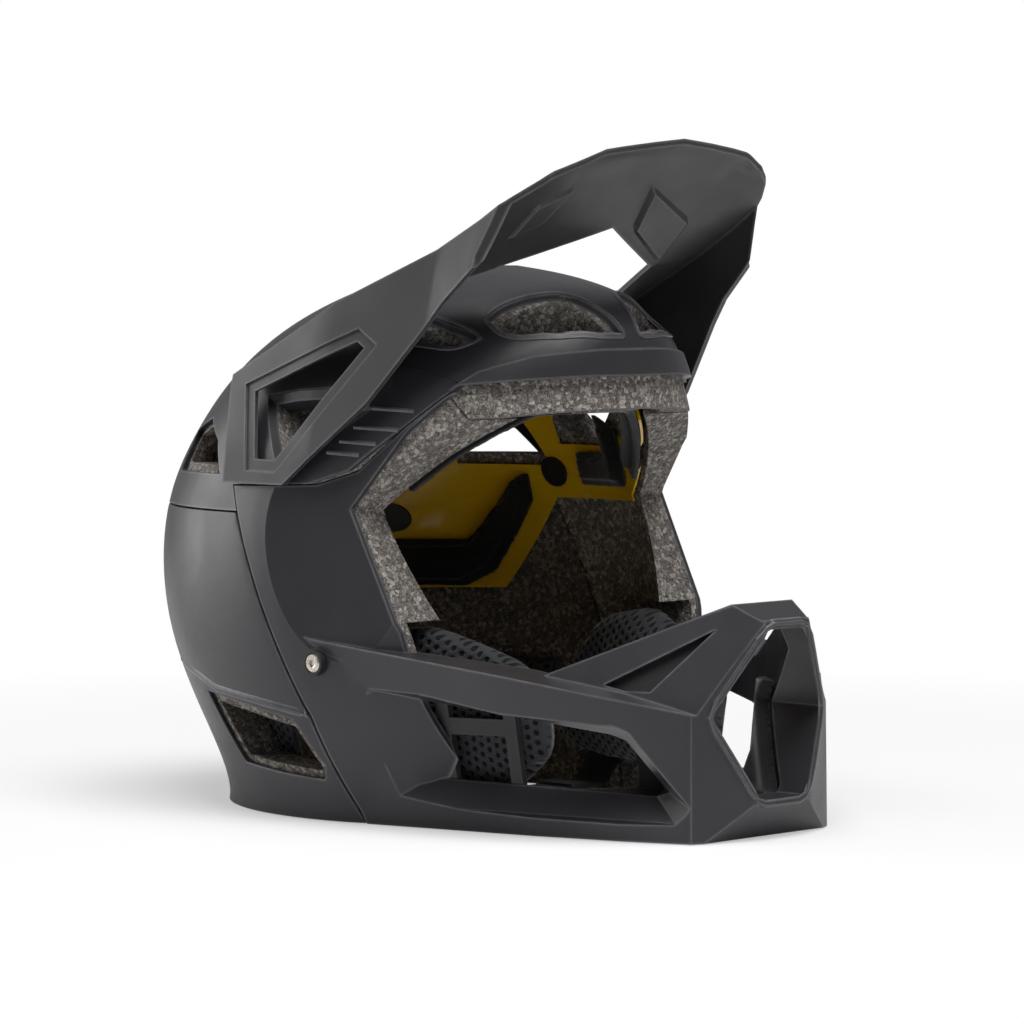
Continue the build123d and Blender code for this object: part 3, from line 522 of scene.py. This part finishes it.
cheek = remeshed("cheek_pad_left", "cheek_pad_cover_left", 3.2 * MM, 1.3 * MM)
inflate(cheek, 4.0, 2.2 * MM)
dense(cheek, 2)
knit(cheek.data, PAD_MESH_DEPTH)
cheek_right_mesh = mirrored(cheek.data, "cheek_pad_cover_right")
cheek_mesh_left = cheek.data
bpy.data.objects.remove(cheek)
for side, mesh in (("left", cheek_mesh_left), ("right", cheek_right_mesh)):
    pad = new_piece("cheek_pad_cover_" + side, mesh, cheek_mesh, "helmet", ("cheek_pad_" + side,))


# Thin comfort pads of the liner, and the chin pad


def thin_pad(node, name, material, voxel, shrink=0.25 * MM, levels=1, knitted=False):
    """Soft pad with rounded edges from a node's form, with a knitted face if asked."""
    pad = remeshed(node, name, voxel, shrink)
    dense(pad, levels)
    if knitted:
        knit(pad.data, PAD_MESH_DEPTH)
    mesh = pad.data
    bpy.data.objects.remove(pad)
    made = new_piece(name, mesh, material, "helmet", (node,))
    return made


thin_pad("brow_pad", "brow_pad_cover", pad_cloth, 0.8 * MM)
thin_pad("nape_pad", "nape_pad_cover", pad_cloth, 1.2 * MM)
thin_pad("crown_pad", "crown_pad_cover", pad_cloth, 1.3 * MM)
for side in ("left", "right"):
    thin_pad("side_pad_" + side, "side_pad_cover_" + side, pad_cloth, 1.3 * MM)
    thin_pad("neck_pad_" + side, "neck_pad_cover_" + side, cheek_mesh, 2.0 * MM, levels=2, knitted=True)
thin_pad("chin_pad", "chin_pad_cover", pad_cloth, 1.3 * MM)


# Straps


def strap(node, name, body):
    """Webbing along a strap's route, with rounded selvedges."""
    obj = bpy.data.objects.new(name, nodes[node].data.copy())
    scene.collection.objects.link(obj)
    obj.modifiers.new("weld", "WELD").merge_threshold = WELD_REACH
    round_off = obj.modifiers.new("round", "BEVEL")
    round_off.width = 0.35 * MM
    round_off.segments = 2
    round_off.limit_method = "ANGLE"
    apply_all(obj)
    smooth(obj.data)
    mesh = obj.data
    bpy.data.objects.remove(obj)
    return new_piece(name, mesh, strap_cloth, body, (node,))


strap("chin_strap_left", "chin_strap_web_left", "helmet")
strap("chin_strap_right", "chin_strap_web_right", "right_strap")


# Raised and sunk details laid on the surfaces of the hard pieces

HALF_WIDTH = 115.0 * MM
HALF_LENGTH = 171.0 * MM
CROWN_HEIGHT = 242.0 * MM
DOWN = Vector((0, 0, -1))
REARWARD = Vector((0, 1, 0))
RIGHTWARD = Vector((-1, 0, 0))


def pixel_line(points, names, steps=8):
    """Places and normals under a line of image points."""
    line = []
    for (ax, ay), (bx, by) in zip(points, points[1:]):
        for step in range(steps + 1):
            share = step / steps
            hit = pixel_hit(ax + (bx - ax) * share, ay + (by - ay) * share, names)
            if hit and (not line or (hit[0] - line[-1][0]).length > 0.1 * MM):
                line.append(hit)
    return line


def laid(starts, way, names):
    """Places and normals where rays in one direction first meet the named nodes."""
    line = []
    for start in starts:
        place, normal, _, _ = tree_of(names).ray_cast(start, way)
        if place is not None:
            line.append((place, -normal if normal.dot(way) > 0 else normal))
    return line


def evened(line, rounds=3):
    """A closed line of places and normals with its small steps smoothed away."""
    for _ in range(rounds):
        before, after = line[-1:] + line[:-1], line[1:] + line[:1]
        line = [((a[0] + b[0] * 2 + c[0]) / 4, (a[1] + b[1] * 2 + c[1]).normalized())
                for a, b, c in zip(before, line, after)]
    return line


def outset(outline, amount):
    """Closed plane outline with every side moved outward by an amount."""
    before = outline[-1:] + outline[:-1]
    after = outline[1:] + outline[:1]
    area = sum(a.x * b.y - b.x * a.y for a, b in zip(outline, after))
    turn = 1 if area > 0 else -1
    moved = []
    for last, corner, following in zip(before, outline, after):
        sides = [(corner - last).normalized(), (following - corner).normalized()]
        first, second = (Vector((s.y, -s.x)) * turn for s in sides)
        moved.append(corner + (first + second) * (amount / max(1 + first.dot(second), 0.5)))
    return moved


def divided(outline, steps):
    """Closed outline with every side cut into equal steps."""
    points = []
    for first, second in zip(outline, outline[1:] + outline[:1]):
        points += [first.lerp(second, step / steps) for step in range(steps)]
    return points


def bar_mesh(name, line, width, height, closed=False, top_share=0.5, sink=0.3 * MM):
    """Low bar with slanted sides along a line of places and normals."""
    points, faces = [], []
    count = len(line)
    for index, (place, normal) in enumerate(line):
        if closed:
            ahead, behind = line[(index + 1) % count][0], line[index - 1][0]
        else:
            ahead, behind = line[min(index + 1, count - 1)][0], line[max(index - 1, 0)][0]
        side = (ahead - behind).cross(normal).normalized() * (width / 2)
        points += [place - side - normal * sink, place - side * top_share + normal * height,
                   place + side * top_share + normal * height, place + side - normal * sink]
    for index in range(count if closed else count - 1):
        here, there = 4 * index, 4 * ((index + 1) % count)
        faces += [(here + k, here + (k + 1) % 4, there + (k + 1) % 4, there + k) for k in range(4)]
    if not closed:
        faces += [(3, 2, 1, 0), tuple(4 * (count - 1) + k for k in range(4))]
    mesh = bpy.data.meshes.new(name)
    mesh.from_pydata(points, [], faces)
    mesh.update()
    return mesh


def both_sides(name, mesh, material, body):
    """A right-hand detail and its mirror image."""
    new_piece(name + "_right", mesh, material, body)
    new_piece(name + "_left", mirrored(mesh, name + "_left"), material, body)


# Fine ridges on the temple, beside the window vent
TEMPLE_RIDGES = (
    ((372, 408), (414, 411)),
    ((354, 427), (398, 430)),
    ((340, 441), (376, 444)),
    ((327, 452), (359, 455)),
)
for number, ends in enumerate(TEMPLE_RIDGES):
    ridge_line = pixel_line(ends, ["upper_shell"], 10)
    if len(ridge_line) > 2:
        ridge = bar_mesh("temple_ridge", ridge_line, 2.6 * MM, 0.7 * MM, top_share=0.2)
        both_sides("temple_ridge_%d" % number, ridge, shell_paint, "helmet")

# Rims of the brow vents and of the front vents, followed from above
BROW_VENT = ((0.447, -0.257), (0.387, -0.263), (0.288, -0.287), (0.139, -0.332), (0.070, -0.435),
             (0.047, -0.472), (0.148, -0.459), (0.296, -0.414), (0.414, -0.351), (0.453, -0.306))
FRONT_VENT = ((0.660, 0.090), (0.545, 0.090), (0.531, -0.181), (0.503, -0.280), (0.584, -0.220),
              (0.642, -0.071))
ABOVE, AHEAD, ASIDE = 0.4, 0.4, 0.2
for vent_name, shares in (("brow_vent_rim", BROW_VENT), ("front_vent_rim", FRONT_VENT)):
    outline = [Vector((-x * HALF_WIDTH, y * HALF_LENGTH)) for x, y in shares]
    starts = [Vector((p.x, p.y, ABOVE)) for p in divided(outset(outline, 1.3 * MM), 5)]
    rim_line = evened(laid(starts, DOWN, ["upper_shell"]))
    rim = bar_mesh(vent_name, rim_line, 2.4 * MM, 0.8 * MM, closed=True, sink=1.0 * MM)
    both_sides(vent_name, rim, shell_paint, "helmet")

# Frame round the six-sided front vent
HEX_VENT = ((0.103, 0.368), (0.308, 0.219), (0.128, 0.070))
hex_outline = [Vector((x * HALF_WIDTH, z * CROWN_HEIGHT)) for x, z in HEX_VENT]
hex_outline += [Vector((-p.x, p.y)) for p in reversed(hex_outline)]
hex_starts = [Vector((p.x, -AHEAD, p.y)) for p in divided(outset(hex_outline, 2.3 * MM), 6)]
hex_line = evened(laid(hex_starts, REARWARD, ["front_shell"]), 1)
hex_rim = bar_mesh("front_vent_frame", hex_line, 4.2 * MM, 1.1 * MM, closed=True, top_share=0.3,
                   sink=0.8 * MM)
new_piece("front_vent_frame", hex_rim, shell_paint, "helmet")

# Sloped wall inside each window vent, from the shell's edge in to the foam's edge
WINDOW_VENT = ((0.290, 0.762), (0.175, 0.774), (0.059, 0.779), (-0.035, 0.770), (-0.081, 0.744),
               (0.069, 0.657), (0.180, 0.651))
COLLAR_RINGS = ((0.0, 0.4 * MM), (3.3 * MM, 2.3 * MM), (3.9 * MM, 9.0 * MM))


def vent_collar(name, shares):
    """Mesh of the right-hand collar, ring by ring down into the vent."""
    outline = [Vector((y * HALF_LENGTH, z * CROWN_HEIGHT)) for y, z in shares]
    probes = divided(outset(outline, 1.0 * MM), 5)
    hits = laid([Vector((-ASIDE, p.x, p.y)) for p in probes], -RIGHTWARD, ["upper_shell"])
    points, faces = [], []
    for draw, depth in COLLAR_RINGS:
        for (place, normal), p in zip(hits, divided(outset(outline, -draw), 5)):
            along, up = p.x - place.y, p.y - place.z
            across = -(normal.y * along + normal.z * up) / normal.x
            points.append(place + Vector((across, along, up)) - normal * depth)
    count = len(hits)
    for ring in range(len(COLLAR_RINGS) - 1):
        for k in range(count):
            here, there = ring * count + k, ring * count + (k + 1) % count
            faces.append((here, there, there + count, here + count))
    mesh = bpy.data.meshes.new(name)
    mesh.from_pydata(points, [], faces)
    mesh.update()
    return mesh


both_sides("window_collar", vent_collar("window_collar", WINDOW_VENT), shell_paint, "helmet")

# Seam between the crown and the temple: a thin dark strip painted along it as the shade in its gap
seam = pixel_line(((384, 361), (420, 369), (461, 384)), ["upper_shell"], 8)
if len(seam) > 2:
    seam_bar = bar_mesh("temple_seam", seam, 0.9 * MM, 0.1 * MM)
    both_sides("temple_seam", seam_bar, pin_rubber, "helmet")

# Low fold across the rear shell
fold = pixel_line(((166, 642), (190, 668), (216, 688), (262, 702), (316, 717)), ["rear_shell"], 6)
if len(fold) > 2:
    fold_bar = bar_mesh("rear_fold", fold, 5.5 * MM, 0.5 * MM, top_share=0.1)
    both_sides("rear_fold", fold_bar, shell_paint, "helmet")

# Socket heads of the strap bolts
BOLT_PLACE = (0.68 * MM, 70.91 * MM)
BOLT_TOP = 112.8 * MM
BOLT_RINGS = ((4.15 * MM, -0.1 * MM, 0), (4.15 * MM, 0.35 * MM, 0), (3.6 * MM, 0.85 * MM, 0),
              (2.3 * MM, 0.85 * MM, 0), (1.5 * MM, 0.75 * MM, 1), (1.5 * MM, 0.04 * MM, 1),
              (0.0, 0.04 * MM, 1))
BOLT_STEPS = 48


def bolt_head(name):
    """Round head with a hexagonal socket, on the right-hand side."""
    points, faces = [], []
    for radius, rise, is_hexagon in BOLT_RINGS:
        for step in range(BOLT_STEPS):
            turn = 2 * math.pi * step / BOLT_STEPS
            reach = radius
            if is_hexagon:
                reach = radius / math.cos((turn + math.pi / 6) % (math.pi / 3) - math.pi / 6)
            along = BOLT_PLACE[0] + reach * math.cos(turn)
            up = BOLT_PLACE[1] + reach * math.sin(turn)
            points.append((-BOLT_TOP - rise, along, up))
    for ring in range(len(BOLT_RINGS) - 1):
        for step in range(BOLT_STEPS):
            here, there = ring * BOLT_STEPS + step, ring * BOLT_STEPS + (step + 1) % BOLT_STEPS
            faces.append((here, here + BOLT_STEPS, there + BOLT_STEPS, there))
    mesh = bpy.data.meshes.new(name)
    mesh.from_pydata(points, [], faces)
    mesh.update()
    return mesh


both_sides("bolt_head", bolt_head("bolt_head"), bolt_steel, "helmet")


# Raised panels on the underside of the visor


def raised_patch(name, corners, names, height, steps=10):
    """Plate that lies on a surface, from four image points; its border slopes down."""
    rows = []
    for i in range(steps + 1):
        row = []
        for j in range(steps + 1):
            u, v = i / steps, j / steps
            px = ((1 - u) * (1 - v) * corners[0][0] + u * (1 - v) * corners[1][0]
                  + u * v * corners[2][0] + (1 - u) * v * corners[3][0])
            py = ((1 - u) * (1 - v) * corners[0][1] + u * (1 - v) * corners[1][1]
                  + u * v * corners[2][1] + (1 - u) * v * corners[3][1])
            row.append(pixel_hit(px, py, names))
        rows.append(row)
    if any(hit is None for row in rows for hit in row):
        return None
    points, faces = [], []
    for i, row in enumerate(rows):
        for j, (place, normal) in enumerate(row):
            inner = 0 < i < steps and 0 < j < steps
            points.append(place + normal * (height if inner else -0.2 * MM))
    side = steps + 1
    for i in range(steps):
        for j in range(steps):
            faces.append((i * side + j, (i + 1) * side + j, (i + 1) * side + j + 1, i * side + j + 1))
    mesh = bpy.data.meshes.new(name)
    mesh.from_pydata(points, [], faces)
    mesh.update()
    return mesh


UNDER_PANELS = (
    ("visor_panel", ((652, 184), (692, 220), (657, 264), (631, 229)), 1.8 * MM),
    ("visor_gusset", ((578, 186), (542, 224), (506, 240), (536, 206)), 1.2 * MM),
)
for panel_name, corners, rise in UNDER_PANELS:
    panel = raised_patch(panel_name, corners, ["visor"], rise)
    if panel is None:
        print("no patch", panel_name)
    else:
        new_piece(panel_name, panel, visor_paint, "visor")


# Stage: pale floor, soft light and a white surround

FLOOR_HALF = 12.0
FLOOR_DROP = 0.0004
FLOOR_TONE = (0.9, 0.9, 0.9, 1.0)
MIRRORED_LEVEL = 0.22
SOFT_LEVEL = 0.03
AIM_HEIGHT = 0.12
floor_mesh = bpy.data.meshes.new("floor")
FLOOR_CORNERS = ((-1, -1), (1, -1), (1, 1), (-1, 1))
floor_mesh.from_pydata([(x * FLOOR_HALF, y * FLOOR_HALF, 0) for x, y in FLOOR_CORNERS], [], [(0, 1, 2, 3)])
floor = bpy.data.objects.new("floor", floor_mesh)
scene.collection.objects.link(floor)
floor.location.z = cad_low.z - FLOOR_DROP
pale = Surface("pale_floor", Roughness=0.9, Base_Color=FLOOR_TONE)
paths = pale.add("LightPath")
mirrored_share = pale.math("MULTIPLY", paths.outputs["Is Glossy Ray"], MIRRORED_LEVEL)
seen = pale.math("MAXIMUM", paths.outputs["Is Camera Ray"], mirrored_share)
away = pale.add("VectorMath", {0: pale.place}, operation="LENGTH").outputs["Value"]
white_share = pale.math("MULTIPLY", seen, pale.span(away, 0.2, 0.7, 0.45, 1.0))
glow = pale.add("Emission", Strength=1.0, Color=WHITE)
mixer = pale.add("MixShader", {0: white_share, 1: pale.shader.outputs[0], 2: glow.outputs[0]})
pale.tree.links.new(mixer.outputs[0], pale.tree.nodes["Material Output"].inputs["Surface"])
floor_mesh.materials.append(pale.material)

world = bpy.data.worlds.new("surround")
world.use_nodes = True
scene.world = world
world_tree = world.node_tree
soft = world_tree.nodes["Background"]
soft.inputs["Color"].default_value = WHITE
soft.inputs["Strength"].default_value = SOFT_LEVEL
bright = world_tree.nodes.new("ShaderNodeBackground")
bright.inputs["Color"].default_value = WHITE
bright.inputs["Strength"].default_value = 1.0
path = world_tree.nodes.new("ShaderNodeLightPath")
dimmer = world_tree.nodes.new("ShaderNodeMath")
dimmer.operation = "MULTIPLY"
dimmer.inputs[1].default_value = MIRRORED_LEVEL
world_tree.links.new(path.outputs["Is Glossy Ray"], dimmer.inputs[0])
either = world_tree.nodes.new("ShaderNodeMath")
either.operation = "MAXIMUM"
world_tree.links.new(path.outputs["Is Camera Ray"], either.inputs[0])
world_tree.links.new(dimmer.outputs[0], either.inputs[1])
world_mix = world_tree.nodes.new("ShaderNodeMixShader")
world_tree.links.new(either.outputs[0], world_mix.inputs[0])
world_tree.links.new(soft.outputs[0], world_mix.inputs[1])
world_tree.links.new(bright.outputs[0], world_mix.inputs[2])
world_tree.links.new(world_mix.outputs[0], world_tree.nodes["World Output"].inputs["Surface"])

LAMPS = (
    ("lamp_top", (-0.2, -0.4, 1.6), 1.2, 27.0),
    ("lamp_back", (-0.8, 1.8, 0.45), 1.4, 20.0),
    ("lamp_front", (0.1, -1.1, 1.9), 0.9, 10.0),
)
for lamp_name, lamp_place, lamp_size, lamp_power in LAMPS:
    lamp_data = bpy.data.lights.new(lamp_name, "AREA")
    lamp_data.size = lamp_size
    lamp_data.energy = lamp_power
    lamp = bpy.data.objects.new(lamp_name, lamp_data)
    scene.collection.objects.link(lamp)
    lamp.location = lamp_place
    aim = Vector((0, 0, AIM_HEIGHT)) - Vector(lamp_place)
    lamp.rotation_euler = aim.to_track_quat("-Z", "Y").to_euler()
